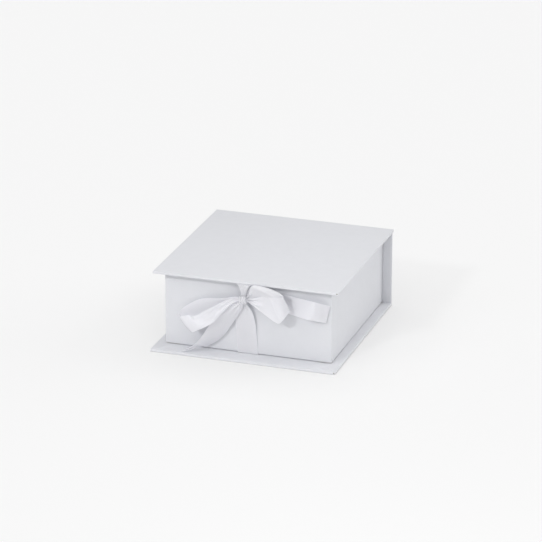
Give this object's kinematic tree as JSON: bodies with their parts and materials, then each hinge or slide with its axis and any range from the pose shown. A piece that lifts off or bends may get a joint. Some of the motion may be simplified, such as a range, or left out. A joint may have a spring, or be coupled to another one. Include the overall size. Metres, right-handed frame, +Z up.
{
  "type": "photo box",
  "caption": "Rigid book-style keepsake box of paper-covered greyboard: case with a lid hinged at the spine, glued-in tray and a satin ribbon tied in a bow",
  "frame": {"origin": "centre of the base's underside, the face that the box stands on", "axes": "+Z up, the shortest way through the box; -Y towards the front with the bow; +X to the right seen from the front"},
  "size_m": [0.1865, 0.19, 0.0805],
  "materials": {
    "cover_paper": "matt white, very fine fibre grain",
    "lining_paper": "matt white",
    "stay_tape": "plain kraft-white tape",
    "greyboard": "raw recycled board",
    "satin_ribbon": "white satin, slightly see-through"
  },
  "bodies": {
    "root": {"base_board": "greyboard", "spine_board": "greyboard", "tray_floor_board": "greyboard", "tray_front_wall": "greyboard", "tray_rear_wall": "greyboard", "tray_left_wall": "greyboard", "tray_right_wall": "greyboard", "base_cover_paper": "cover_paper", "spine_cover_paper": "cover_paper", "tray_cover_paper": "cover_paper", "spine_lining": "lining_paper", "tray_lining": "lining_paper", "corner_stay_front_left": "stay_tape", "corner_stay_front_right": "stay_tape", "corner_stay_rear_left": "stay_tape", "corner_stay_rear_right": "stay_tape", "lower_ribbon": "satin_ribbon", "bow_knot": "satin_ribbon", "bow_left_loop": "satin_ribbon", "bow_right_loop": "satin_ribbon", "bow_left_tail": "satin_ribbon", "bow_right_tail": "satin_ribbon"},
    "lid": {"lid_board": "greyboard", "lid_cover_paper": "cover_paper", "lid_lining": "lining_paper", "lid_crease": "cover_paper", "upper_ribbon": "satin_ribbon"}
  },
  "joints": [
    {"name": "lid_hinge", "type": "hinge", "parent": "root", "child": "lid", "pos_m": [0, 0.0949, 0.078], "axis": [-1, 0, 0], "range_deg": [0, 203]}
  ]
}
